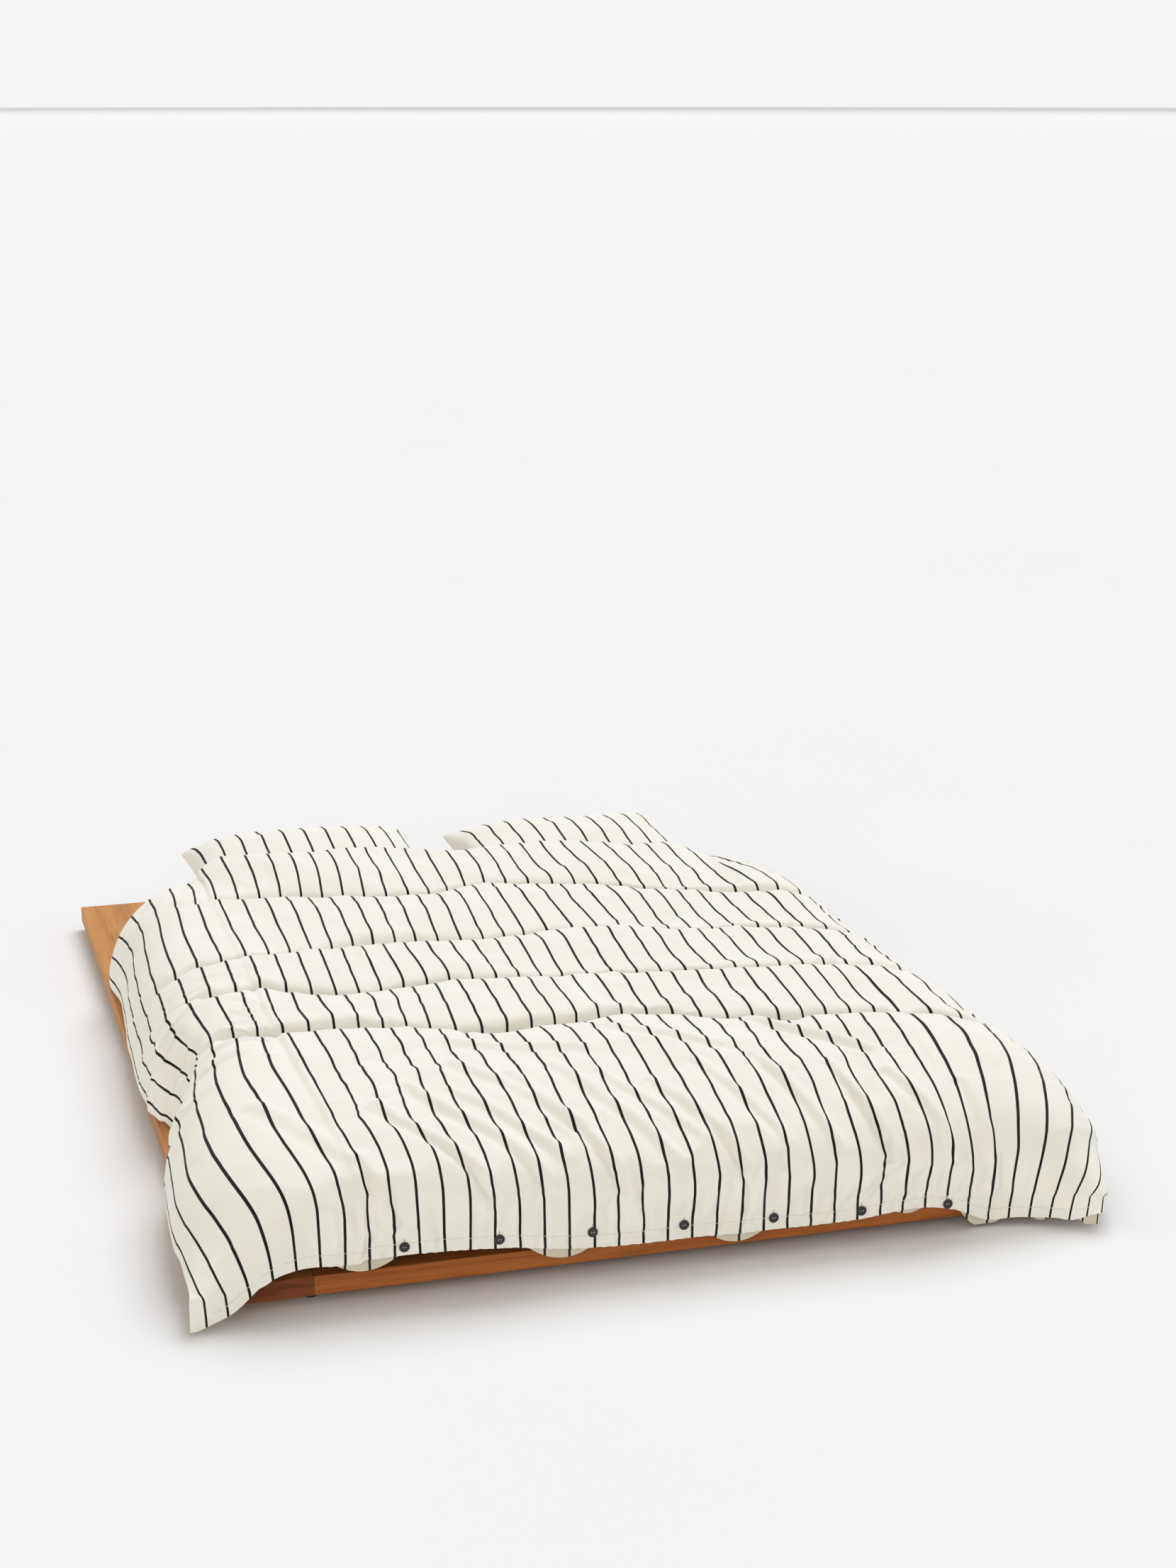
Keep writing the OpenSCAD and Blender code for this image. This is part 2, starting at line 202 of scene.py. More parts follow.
class Nodes:
    """A material's node tree, with short calls that add and link nodes."""

    def __init__(self, name):
        self.material = bpy.data.materials.new(name)
        self.material.use_nodes = True
        self.tree = self.material.node_tree
        self.shader = self.tree.nodes["Principled BSDF"]

    def add(self, kind, **values):
        node = self.tree.nodes.new("ShaderNode" + kind)
        for key, value in values.items():
            if key.startswith("in_"):
                self.set(node.inputs[int(key[3:])], value)
            else:
                setattr(node, key, value)
        return node

    def set(self, socket, value):
        if isinstance(value, bpy.types.NodeSocket):
            self.tree.links.new(value, socket)
        else:
            socket.default_value = value

    def math(self, operation, a, b=0.0, c=0.0):
        return self.add("Math", operation=operation, in_0=a, in_1=b, in_2=c).outputs[0]

    def ramp(self, value, stops):
        node = self.add("ValToRGB", in_0=value)
        elements = node.color_ramp.elements
        while len(elements) < len(stops):
            elements.new(0.5)
        for element, (place, colour) in zip(elements, stops):
            element.position = place
            element.color = (*colour, 1)
        return node.outputs[0]

    def noise(self, vector, scale, detail=2.0, distortion=0.0):
        node = self.add("TexNoise", in_0=vector)
        node.inputs["Scale"].default_value = scale
        node.inputs["Detail"].default_value = detail
        node.inputs["Distortion"].default_value = distortion
        return node.outputs[0]

    def mix(self, factor, a, b):
        node = self.add("Mix", data_type="RGBA")
        for socket, value in ((node.inputs[0], factor), (node.inputs[6], a), (node.inputs[7], b)):
            self.set(socket, (*value, 1) if isinstance(value, tuple) else value)
        return node.outputs[2]

    def place(self, scale, kind="Object"):
        coordinate = self.add("TexCoord").outputs[kind]
        return self.add("Mapping", in_0=coordinate, in_3=scale).outputs[0]

    def bump(self, height, strength, distance):
        node = self.add("Bump")
        node.inputs["Strength"].default_value = strength
        node.inputs["Distance"].default_value = distance
        self.set(node.inputs["Height"], height)
        self.set(self.shader.inputs["Normal"], node.outputs[0])

    def finish(self, colour=None, rough=None, **constants):
        if colour is not None:
            self.set(self.shader.inputs["Base Color"], colour)
        if rough is not None:
            self.set(self.shader.inputs["Roughness"], rough)
        for key, value in constants.items():
            self.shader.inputs[key.replace("_", " ")].default_value = value
        return self.material


def cotton_material(name, light, dark, stripe):
    """Percale with stripes along V, faint mottling and a weave of fine threads."""
    n = Nodes(name)
    uv = n.place((1, 1, 1), "UV")
    across = n.add("SeparateXYZ", in_0=uv).outputs[0]
    distance = n.math("PINGPONG", n.math("ADD", across, STRIPE_PHASE), STRIPE_PITCH / 2)
    edge = n.add("MapRange", in_0=distance, in_1=STRIPE_W * 0.46, in_2=STRIPE_W * 0.54, in_3=1.0, in_4=0.0)
    mottling = n.noise(uv, 9.0, 4.0)
    cloth = n.ramp(mottling, [(0.35, dark), (0.65, light)])
    worn = n.noise(n.add("Mapping", in_0=uv, in_3=(900, 160, 1)).outputs[0], 1.0, 1.0)
    ink = n.ramp(worn, [(0.3, stripe), (0.75, tuple(0.010 + 1.2 * c for c in stripe))])
    colour = n.mix(edge.outputs[0], cloth, ink)
    threads = n.math("ADD", n.noise(n.add("Mapping", in_0=uv, in_3=(1900, 260, 1)).outputs[0], 1.0, 1.0),
                     n.noise(n.add("Mapping", in_0=uv, in_3=(260, 1900, 1)).outputs[0], 1.0, 1.0))
    n.bump(threads, 0.18, 0.0006)
    rough = n.ramp(mottling, [(0.3, (0.82,) * 3), (0.7, (0.92,) * 3)])
    return n.finish(colour, rough, Sheen_Weight=0.06, Sheen_Roughness=0.5, Specular_IOR_Level=0.15)


# End grain is darker and redder than the long grain
END_TINT = (0.92, 0.58, 0.72)


def oak_material(name, along, light, mid, dark):
    """Oiled oak with straight grain along one axis and pores; the end faces show end grain."""
    n = Nodes(name)
    stretch = (28, 1.3, 28) if along == "y" else (1.3, 28, 28)
    fine = (420, 9, 420) if along == "y" else (9, 420, 420)
    grain = n.noise(n.place(stretch), 1.0, 5.0, 0.6)
    figure = n.noise(n.place(tuple(s * 0.28 for s in stretch)), 1.0, 3.0, 1.2)
    pores = n.noise(n.place(fine), 1.0, 2.0)
    long_grain = n.ramp(n.math("ADD", n.math("MULTIPLY", grain, 0.62), n.math("MULTIPLY", figure, 0.38)),
                        [(0.36, dark), (0.5, mid), (0.64, light)])
    shade = n.ramp(pores, [(0.30, tuple(0.62 * c for c in mid)), (0.46, (1.0, 1.0, 1.0))])
    board = n.add("Mix", data_type="RGBA", blend_type="MULTIPLY")
    n.set(board.inputs[0], 0.55)
    n.set(board.inputs[6], long_grain)
    n.set(board.inputs[7], shade)
    rings = n.noise(n.place((14, 14, 110)), 1.0, 4.0, 0.8)
    end = n.ramp(rings, [(0.35, tuple(0.32 * t * c for t, c in zip(END_TINT, dark))),
                         (0.65, tuple(0.42 * t * c for t, c in zip(END_TINT, mid)))])
    normal = n.add("SeparateXYZ", in_0=n.add("NewGeometry").outputs["Normal"])
    facing = n.math("ABSOLUTE", normal.outputs[1 if along == "y" else 0])
    is_end = n.add("MapRange", in_0=facing, in_1=0.7, in_2=0.9)
    colour = n.mix(is_end.outputs[0], board.outputs[2], end)
    n.bump(n.math("ADD", n.math("MULTIPLY", grain, 0.5), pores), 0.25, 0.0008)
    rough = n.ramp(grain, [(0.3, (0.42,) * 3), (0.7, (0.58,) * 3)])
    return n.finish(colour, rough, Specular_IOR_Level=0.22)


def speckled_material(name, light, dark, scale, rough, depth=0.0003, metallic=0.0):
    """A plain material whose colour, roughness and surface vary a little."""
    n = Nodes(name)
    place = n.place((1, 1, 1))
    grain = n.noise(place, scale, 3.0)
    colour = n.ramp(grain, [(0.3, dark), (0.7, light)])
    n.bump(grain, 0.3, depth)
    wear = n.ramp(n.noise(place, scale * 0.2, 2.0), [(0.3, (rough * 0.85,) * 3), (0.7, (rough * 1.12,) * 3)])
    return n.finish(colour, wear, Metallic=metallic)


COTTON = cotton_material("striped_cotton", (0.885, 0.872, 0.800), (0.865, 0.848, 0.770), (0.006,) * 3)
# Cotton for the cover's underside and hem facing: the striped cotton again, darkened and warmed with painted
# shade
SHADED_REVERSE = cotton_material("cotton_reverse", (0.70, 0.65, 0.53), (0.64, 0.59, 0.47), (0.020, 0.019, 0.018))
SIDE_OAK = oak_material("side_oak", "y", (0.60, 0.275, 0.070), (0.53, 0.225, 0.052), (0.42, 0.160, 0.034))
END_OAK = oak_material("end_oak", "x", (0.46, 0.160, 0.032), (0.38, 0.115, 0.022), (0.27, 0.070, 0.012))
PINE = oak_material("slat_wood", "x", (0.76, 0.56, 0.33), (0.69, 0.48, 0.26), (0.58, 0.38, 0.19))
BEAM_PINE = oak_material("beam_wood", "y", (0.74, 0.54, 0.31), (0.67, 0.46, 0.24), (0.56, 0.36, 0.18))
ZINC = speckled_material("zinc_steel", (0.62, 0.62, 0.64), (0.48, 0.48, 0.50), 240.0, 0.35, 0.0001, 1.0)
BLACK_PLASTIC = speckled_material("glide_plastic", (0.022, 0.022, 0.022), (0.012, 0.012, 0.012), 900.0, 0.55)
BUTTON_BLACK = speckled_material("button_resin", (0.026, 0.026, 0.027), (0.012, 0.012, 0.013), 420.0, 0.34)
THREAD = speckled_material("thread", (0.80, 0.78, 0.70), (0.62, 0.60, 0.52), 1500.0, 0.9)
TICKING = speckled_material("ticking", (0.86, 0.85, 0.82), (0.78, 0.77, 0.73), 350.0, 0.9, 0.0008)
FOAM = speckled_material("foam", (0.86, 0.80, 0.62), (0.76, 0.69, 0.50), 420.0, 0.95, 0.0015)
FILLING = speckled_material("filling", (0.90, 0.90, 0.88), (0.84, 0.84, 0.82), 160.0, 0.9, 0.0015)


def dress_frame():
    """Gives the carried-over CAD nodes their materials."""
    for name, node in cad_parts.items():
        if name.startswith("side_board"):
            material = SIDE_OAK
        elif name in ("foot_board", "head_board"):
            material = END_OAK
        elif name.startswith(("centre_beam", "side_cleat")):
            material = BEAM_PINE
        elif name.startswith(("slat", "board_dowels")):
            material = PINE
        elif name.startswith(("plate", "stud")):
            material = ZINC
        elif name.startswith("glide"):
            material = BLACK_PLASTIC
        elif name == "buttons":
            material = BUTTON_BLACK
        else:
            continue
        node.data.materials.clear()
        node.data.materials.append(material)


# ---- The duvet's shape ----

# How high the foot hem hangs, at set places across the bed
HEM_Z = [(-0.90, 0.006), (-0.835, 0.006), (-0.81, 0.014), (-0.767, 0.030), (-0.733, 0.056), (-0.704, 0.078),
         (-0.666, 0.086), (-0.60, 0.083), (-0.50, 0.083), (-0.31, 0.074), (-0.14, 0.054), (0.07, 0.050),
         (0.34, 0.046), (0.49, 0.052), (0.54, 0.040), (0.60, 0.016), (0.66, 0.016), (0.72, 0.018),
         (0.75, 0.016), (0.78, 0.028), (0.82, 0.038), (0.90, 0.040)]
# How far out each side edge reaches, at set places up the bed
LEFT_EDGE = [(-1.12, 0.852), (-1.00, 0.848), (-0.85, 0.836), (-0.62, 0.812), (-0.50, 0.782), (-0.42, 0.778),
             (-0.30, 0.792), (0.0, 0.795), (0.18, 0.796), (0.34, 0.782), (0.47, 0.797), (0.58, 0.778),
             (0.66, 0.750), (0.74, 0.705), (0.84, 0.640)]
RIGHT_EDGE = [(-1.14, 0.836), (-1.05, 0.852), (-0.85, 0.868), (-0.63, 0.855), (-0.36, 0.812), (-0.06, 0.790),
              (0.28, 0.786), (0.45, 0.786), (0.55, 0.770), (0.64, 0.740), (0.74, 0.690), (0.82, 0.650)]
# Where each cross fold's crest runs, as up-the-bed places at set places across it
CRESTS = [
    [(-0.86, -0.50), (-0.67, -0.51), (-0.51, -0.54), (-0.32, -0.59), (-0.19, -0.63), (-0.05, -0.605),
     (0.09, -0.61), (0.21, -0.67), (0.35, -0.70), (0.55, -0.74), (0.86, -0.78)],
    [(-0.86, -0.23), (-0.67, -0.26), (-0.54, -0.295), (-0.40, -0.335), (-0.20, -0.33), (0.02, -0.36),
     (0.17, -0.37), (0.30, -0.415), (0.55, -0.47), (0.86, -0.50)],
    [(-0.86, -0.05), (-0.71, -0.07), (-0.50, -0.08), (-0.20, -0.075), (-0.06, -0.10), (0.10, -0.065),
     (0.25, -0.10), (0.39, -0.15), (0.60, -0.22), (0.86, -0.25)],
    [(-0.86, 0.34), (-0.74, 0.32), (-0.41, 0.29), (-0.13, 0.26), (0.04, 0.28), (0.19, 0.24), (0.40, 0.14),
     (0.60, 0.06), (0.86, 0.02)],
]
# How deep the valley behind each crest is, as a share of VALLEY
DEPTHS = [
    [(-0.86, 0.15), (-0.70, 0.40), (-0.52, 0.85), (-0.1, 1.0), (0.3, 0.85), (0.55, 0.5), (0.86, 0.2)],
    [(-0.86, 0.15), (-0.70, 0.45), (-0.50, 0.9), (0.0, 1.0), (0.25, 0.8), (0.45, 0.4), (0.86, 0.2)],
    [(-0.86, 0.10), (-0.70, 0.35), (-0.45, 0.95), (-0.25, 1.25), (0.1, 1.0), (0.35, 0.6), (0.86, 0.2)],
    [(-0.86, 0.0), (-0.62, 0.10), (-0.48, 0.25), (-0.3, 0.7), (0.0, 1.0), (0.3, 1.0), (0.5, 0.6),
     (0.86, 0.1)],
]
# How wide that valley is, as a share of a plain one
WIDTHS = [
    [(-0.86, 1.0), (0.86, 1.0)],
    [(-0.86, 1.0), (-0.1, 0.9), (0.86, 1.1)],
    [(-0.86, 1.0), (-0.50, 1.0), (-0.32, 1.55), (-0.08, 1.4), (0.05, 1.0), (0.86, 1.0)],
    [(-0.86, 1.0), (0.86, 1.0)],
]
# How far up the bed the head edge lies, and how high, at set places across
HEAD_EDGE = [(-0.90, 0.40), (-0.80, 0.50), (-0.74, 0.585), (-0.68, 0.655), (-0.62, 0.69), (-0.57, 0.67),
             (-0.50, 0.61), (-0.39, 0.565), (-0.22, 0.575), (-0.05, 0.60), (0.12, 0.60), (0.28, 0.565),
             (0.43, 0.52), (0.52, 0.54), (0.57, 0.58), (0.62, 0.62), (0.67, 0.61), (0.72, 0.55), (0.78, 0.43),
             (0.90, 0.32)]
HEAD_TOP = [(-0.86, 0.283), (-0.60, 0.283), (-0.50, 0.296), (-0.30, 0.300), (-0.12, 0.292), (0.02, 0.272),
            (0.12, 0.278), (0.30, 0.286), (0.50, 0.278), (0.60, 0.278), (0.86, 0.280)]
# The foot roll's slope, in degrees, where its control points are
ROLL_ANGLES = (10, 24, 38, 52, 66, 78)
ROLL_POWER = 0.86
# A cross fold's valley: places behind the crest and how far down they are, as a share of the depth
VALLEY_FORM = [(0.030, 0.25), (0.038, 0.9), (0.048, 1.25), (0.060, 0.95), (0.070, 0.36), (0.082, 0.16)]
# How the duvet falls from the last valley to its head edge beside the pillows
LANE_FALL = [(0.15, 0.014), (0.42, 0.028), (0.70, 0.044), (0.90, 0.064), (1.0, 0.084)]


def between(a, b, share):
    """Control points on the way from those of a to those of b."""
    return [(p[0] + (q[0] - p[0]) * share, p[1] + (q[1] - p[1]) * share) for p, q in zip(a, b)]


def profile(x, hem):
    """(Y, Z) control points of the duvet's top along the bed, from the foot hem to the head edge, at x."""
    crest = []
    for k, line in enumerate(CRESTS):
        step = 0.013 * lumps(x + 2, 4.0 + k, 0.09, 7) + 0.008 * lumps(x + 2, 7.0 + k, 0.036, 9)
        crest.append(float(curve(x, line) + step))
    head = float(curve(x, HEAD_EDGE))
    lane = float(smooth(*LANE_X, abs(x)))
    roll = hem + 0.075
    points = [(FRONT_Y, hem), (FRONT_Y, hem + 0.03), (FRONT_Y - 0.002, hem + 0.05)]
    reach = crest[0] - FRONT_Y + 0.006
    for angle in ROLL_ANGLES:
        a = math.radians(angle)
        back, up = math.cos(a) ** ROLL_POWER, math.sin(a) ** ROLL_POWER
        points.append((crest[0] - reach * back, roll + (CREST_Z - roll) * up))
    top = float(curve(x, HEAD_TOP))
    tops = [CREST_Z, CREST_Z - 0.001, CREST_Z - 0.002, CREST_Z - 0.002, top]
    for i, (y, after) in enumerate(zip(crest, crest[1:] + [head])):
        depth = VALLEY * float(curve(x, DEPTHS[i])) * (1 + 0.25 * float(lumps(x + 2, 9.0 + i, 0.11, 8)))
        wide = float(curve(x, WIDTHS[i]))
        points += [(y - 0.03, tops[i]), (y + 0.005, tops[i])]
        points += [(y + behind * wide, tops[i] - down * depth) for behind, down in VALLEY_FORM]
        points.append((y + 0.30 * (after - y) + 0.04, tops[i + 1] - 0.008))
    last = points[-1][0]
    on_pillow = [(head - 0.10, top), (head - 0.03, top), (head - 0.002, top - 0.003),
                 (head + 0.005, top - 0.010), (head - 0.004, top - 0.017)]
    in_lane = [(last + (head - last) * share, top - fall) for share, fall in LANE_FALL]
    return points + between(on_pillow, in_lane, lane)


def side_section():
    """Share of the way out, share of the height and length along the rounded side of the duvet."""
    a = np.linspace(0, math.pi / 2, 400)
    power = 2 / 2.25
    out, up = np.sin(a) ** power, np.cos(a) ** power
    tuck = np.linspace(0, 1, 60)[1:]
    out = np.r_[out, 1 - 0.06 * tuck**2]
    up = np.r_[up, -0.02 * tuck]
    length = np.r_[0, np.cumsum(np.hypot(np.diff(out), np.diff(up)))] * SIDE_DEPTH
    return out, up, length


# Where the gathered cloth lies on the bed: places in the cloth from its middle, and on the bed
GATHER = [(0, 0), (0.28, 0.255), (0.56, 0.510)]
HEM_GATHER = 0.886
# For each side, how far its foot corner is pulled in and how much shorter its hang at the foot is
LEFT_CORNER = (0.041, 0.24)
RIGHT_CORNER = (0.080, 0.32)
PLAIN_HALF_W = 0.80


def lay(outline, hem_of, shoulder, low, inset):
    """A sheet laid over the bed: outline(x, hem) is its section along the bed and hem_of(x) its foot edge."""
    u = np.linspace(-COVER_W / 2, COVER_W / 2, COLUMNS)
    out, up, length = side_section()
    gather = GATHER + [(COVER_W / 2, shoulder + length[-1])]
    points = np.zeros((ROWS, COLUMNS, 3))
    for j, across in enumerate(u):
        side = -1 if across < 0 else 1
        pull_in, shorter = LEFT_CORNER if side < 0 else RIGHT_CORNER
        arc = float(curve(abs(across), gather))
        over = max(arc - shoulder, 0)
        reach, share = np.interp(over, length, out), np.interp(over, length, up)
        hem_x = side * (HEM_GATHER * abs(across) - pull_in * abs(across) ** 5)
        body = shoulder + (PLAIN_HALF_W - shoulder) * reach if over > 0 else arc
        line = b_spline(outline(side * body, hem_of(hem_x)))
        y, z = line.T
        s = np.r_[0, np.cumsum(np.hypot(np.diff(y), np.diff(z)))]
        to_hem = np.clip(1 - s / (0.60 - shorter * smooth(0.60, 0.92, abs(across))), 0, 1)
        at_hem = (to_hem + smooth(0, 1, to_hem)) / 2
        edge = curve(y, LEFT_EDGE if side < 0 else RIGHT_EDGE) - inset
        x = shoulder + (edge - shoulder) * reach if over > 0 else arc + 0 * y
        x = x + (abs(hem_x) - x) * at_hem
        if over > 0:
            z = soft_min(z, low + (z - low) * share, 0.02)
            z = np.maximum(z, np.minimum(line[:, 1], low + 0.002))
        points[:, j] = evenly(np.stack([side * x, y, z], 1), ROWS)
    return points, u[None, :], np.linspace(0, COVER_L, ROWS)[:, None]


# Where the under layer peeks out below the foot edge: its middle, half its width and how far it shows
FLAPS = [(-0.545, 0.072, 0.023), (-0.205, 0.070, 0.020), (0.120, 0.062, 0.018), (0.445, 0.040, 0.010),
         (0.585, 0.050, 0.022), (0.70, 0.03, 0.008), (0.815, 0.058, 0.040)]
# How far the under layer's hem stays above the top's, away from those places
HEM_STEP = 0.010


def top_hem(x):
    """Height of the striped top's foot edge, which sags a little between the buttons."""
    sag = sum(0.0015 * depth / 0.02 * np.clip(1 - ((x - at) / half) ** 2, 0, 1) for at, half, depth in FLAPS)
    return float(curve(x, HEM_Z) - sag)


def under_hem(x):
    """Height of the under layer's foot edge."""
    peek = sum((depth + HEM_STEP) * np.clip(1 - ((x - at) / half) ** 2, 0, 1) for at, half, depth in FLAPS)
    return max(float(curve(x, HEM_Z) + HEM_STEP - peek), FLOOR_GAP)


def under_profile(x, hem):
    """(Y, Z) control points of the duvet's underside along the bed, at x."""
    head = float(curve(x, HEAD_EDGE))
    lane = float(smooth(*LANE_X, abs(x)))
    y = FRONT_Y + 0.0045
    level = MATTRESS_Z + 0.004
    top = float(curve(x, HEAD_TOP))
    points = [(y, hem), (y, hem + 0.03), (y + 0.002, max(hem + 0.05, 0.07)), (y + 0.006, LEDGE_Z + 0.045),
              (-1.085, LEDGE_Z + 0.052), (-1.04, LEDGE_Z + 0.065), (-1.012, level - 0.02), (-0.985, level),
              (-0.94, level), (-0.6, level), (-0.2, level), (0.15, level), (0.36, level)]
    on_pillow = [(0.43, level), (0.465, level + 0.025), (0.495, level + 0.085), (head - 0.05, top - 0.026),
                 (head - 0.018, top - 0.021), (head - 0.004, top - 0.018)]
    in_lane = [(0.42, level), (0.50, level), (0.56, level), (head - 0.12, level - 0.01),
               (head - 0.04, top - 0.14), (head - 0.002, top - 0.200)]
    return points + between(on_pillow, in_lane, lane)


# The foot corners: their side, and how far they hang outwards and towards the foot
CORNERS = ((-1, 0.004, 0.036), (1, -0.008, 0.062))


def drop_corners(points, u, v):
    """Lets the cover's foot corners hang out and down round the frame's corners."""
    for side, out, forward in CORNERS:
        away = np.hypot((COVER_W / 2 - side * u) / 0.30, v / 0.30)
        w = smooth(1.0, 0.0, away)
        points[..., 0] += side * out * w
        points[..., 1] -= forward * w
    points[..., 2] = np.maximum(points[..., 2], FLOOR_GAP)
    return points


# Drag lines in the cover: across and along of both ends, half width and height
DRAGS = [
    (-0.52, 0.36, -0.34, 0.10, 0.016, 0.006), (-0.44, 0.42, -0.24, 0.12, 0.014, 0.007),
    (-0.36, 0.40, -0.20, 0.16, 0.012, 0.005), (-0.33, 0.50, -0.14, 0.24, 0.015, 0.006),
    (-0.23, 0.42, -0.08, 0.10, 0.013, 0.006), (-0.14, 0.44, 0.02, 0.14, 0.014, 0.006),
    (-0.06, 0.40, 0.08, 0.18, 0.011, 0.004), (0.03, 0.36, 0.16, 0.12, 0.013, 0.005),
    (0.14, 0.40, 0.25, 0.16, 0.012, 0.005), (0.26, 0.42, 0.36, 0.14, 0.014, 0.006),
    (0.40, 0.38, 0.47, 0.12, 0.013, 0.006), (0.52, 0.34, 0.60, 0.12, 0.014, 0.007),
    (-0.30, 0.60, -0.06, 0.50, 0.016, 0.006), (0.00, 0.60, 0.22, 0.46, 0.015, 0.005),
    (0.30, 0.62, 0.52, 0.44, 0.015, 0.006), (-0.72, 0.46, -0.62, 0.20, 0.016, 0.006),
    (-0.60, 0.20, -0.56, 0.06, 0.012, 0.006), (0.66, 0.30, 0.70, 0.08, 0.014, 0.007),
]


def normals(points):
    """The surface's normals at the points of a grid."""
    n = np.cross(np.gradient(points, axis=1), np.gradient(points, axis=0))
    return n / np.maximum(np.linalg.norm(n, axis=-1, keepdims=True), 1e-9)


def add_relief(points, u, v):
    """Soft unevenness of the filling, drag lines and small random wrinkles."""
    high = smooth(0.06, 0.20, points[..., 2])
    x, y = points[..., 0], points[..., 1]
    lift = high * (0.006 * lumps(x + 3, y + 3, 0.16, 1) + 0.0022 * lumps(x + 3, y * 1.6 + 3, 0.06, 2))
    for u0, v0, u1, v1, width, height in DRAGS:
        du, dv = u1 - u0, v1 - v0
        t = np.clip(((u - u0) * du + (v - v0) * dv) / (du * du + dv * dv), 0, 1)
        away = np.hypot(u - u0 - t * du, v - v0 - t * dv) / width
        side = ((u - u0) * dv - (v - v0) * du) / math.hypot(du, dv) / width
        beside = 0.5 * np.exp(-((side - 1.4) ** 2)) * (np.abs(t - 0.5) < 0.5)
        lift = lift + height * (np.exp(-away**2) - beside)
    points = points + normals(points) * lift[..., None]
    points[..., 0] += 0.006 * lumps(x + 5, y + 5, 0.14, 3) * smooth(0.0, 0.15, v)
    return points


def ridges(u, v, angle, width, length, seed):
    """Thin wandering ridges from 0 to 1, running at an angle in degrees from across the cloth to its foot."""
    a = math.radians(angle)
    across = (u * math.sin(a) + v * math.cos(a) + 9) / width
    along = (u * math.cos(a) - v * math.sin(a) + 9) / length
    return np.exp(-((lumps(across, along, 1.0, seed) / 0.20) ** 2))


def patches(u, v, size, seed):
    """0 or 1 in areas about size across, with soft edges."""
    return smooth(-0.15, 0.45, lumps(u + 3, v + 3, size, seed))


def add_creases(points, u, v):
    """Fine creases in the cloth: slanting on the foot roll, upright at the hem and puckers on the left."""
    roll = smooth(0.05, 0.14, v) * smooth(0.66, 0.46, v) * smooth(0.80, 0.55, np.abs(u))
    body = smooth(0.5, 0.7, v) * smooth(0.86, 0.70, np.abs(u))
    hem = smooth(0.20, 0.03, v) * smooth(0.0, 0.02, v)
    left = smooth(-0.58, -0.70, u) * smooth(0.58, 0.72, v) * smooth(1.40, 1.15, v)
    right = smooth(0.60, 0.74, u) * smooth(0.35, 0.6, v)
    lift = 0.0048 * ridges(u, v, 52, 0.048, 0.24, 21) * roll * patches(u, v, 0.20, 31)
    lift = lift + 0.0028 * ridges(u, v, 78, 0.060, 0.16, 22) * body * patches(u, v, 0.16, 32)
    lift = lift + 0.0042 * ridges(u, v, 88, 0.050, 0.11, 23) * hem * patches(u, v, 0.14, 33)
    lift = lift + 0.0068 * ridges(u, v, 24, 0.036, 0.12, 24) * left
    lift = lift + 0.0034 * ridges(u, v, 150, 0.050, 0.16, 25) * right * patches(u, v, 0.18, 34)
    return points + normals(points) * lift[..., None]


def finer(points):
    """A grid of twice the density through the same points."""
    for axis in (0, 1):
        p = np.moveaxis(points, axis, 0)
        far = np.concatenate([2 * p[:1] - p[1:2], p, 2 * p[-1:] - p[-2:-1]])
        both = np.empty((2 * len(p) - 1,) + p.shape[1:])
        both[::2] = p
        both[1::2] = (9 * (p[:-1] + p[1:]) - far[:-3] - far[3:]) / 16
        points = np.moveaxis(both, 0, axis)
    return points


def button_places():
    """(X, Z) of the middles of the hem buttons, found from the loose parts of their CAD node."""
    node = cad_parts["buttons"]
    places = np.array([node.matrix_world @ p.co for p in node.data.vertices])
    xs = np.sort(places[:, 0])
    starts = np.r_[0, np.nonzero(np.diff(xs) > 0.03)[0] + 1, len(xs)]
    found = []
    for a, b in zip(starts[:-1], starts[1:]):
        one = places[(places[:, 0] >= xs[a]) & (places[:, 0] <= xs[b - 1])]
        low, high = one.min(axis=0), one.max(axis=0)
        found.append(((low[0] + high[0]) / 2, (low[2] + high[2]) / 2))
    return found


BUTTONS = button_places()


def stay_clear(points):
    """Keeps the cover off the boards and flat behind its buttons."""
    x, y, z = points[..., 0], points[..., 1], points[..., 2]
    low_front = (z < LEDGE_Z + 0.002) & (np.abs(x) < HALF_W + BOARD_GAP) & (y < FOOT_Y + 0.06)
    points[..., 1] = np.where(low_front, np.minimum(y, FOOT_Y - 0.004), y)
    y = points[..., 1]
    on_ledge = (np.abs(x) < HALF_W + BOARD_GAP) & (y > FOOT_Y - BOARD_GAP)
    points[..., 2] = np.where(on_ledge, np.maximum(z, LEDGE_Z + 0.004), np.maximum(z, 0.005))
    for bx, bz in BUTTONS:
        near = smooth(0.034, 0.013, np.hypot(x - bx, points[..., 2] - bz)) * (y < FOOT_Y + 0.08)
        points[..., 1] += (FRONT_Y - points[..., 1]) * near
    return points


# The simulation: its frames, how far a point may move, and how much looser than its grid the cloth may be
SIM_FRAMES = 12
MOST_MOVE = 0.012
MOST_SLACK = 0.06


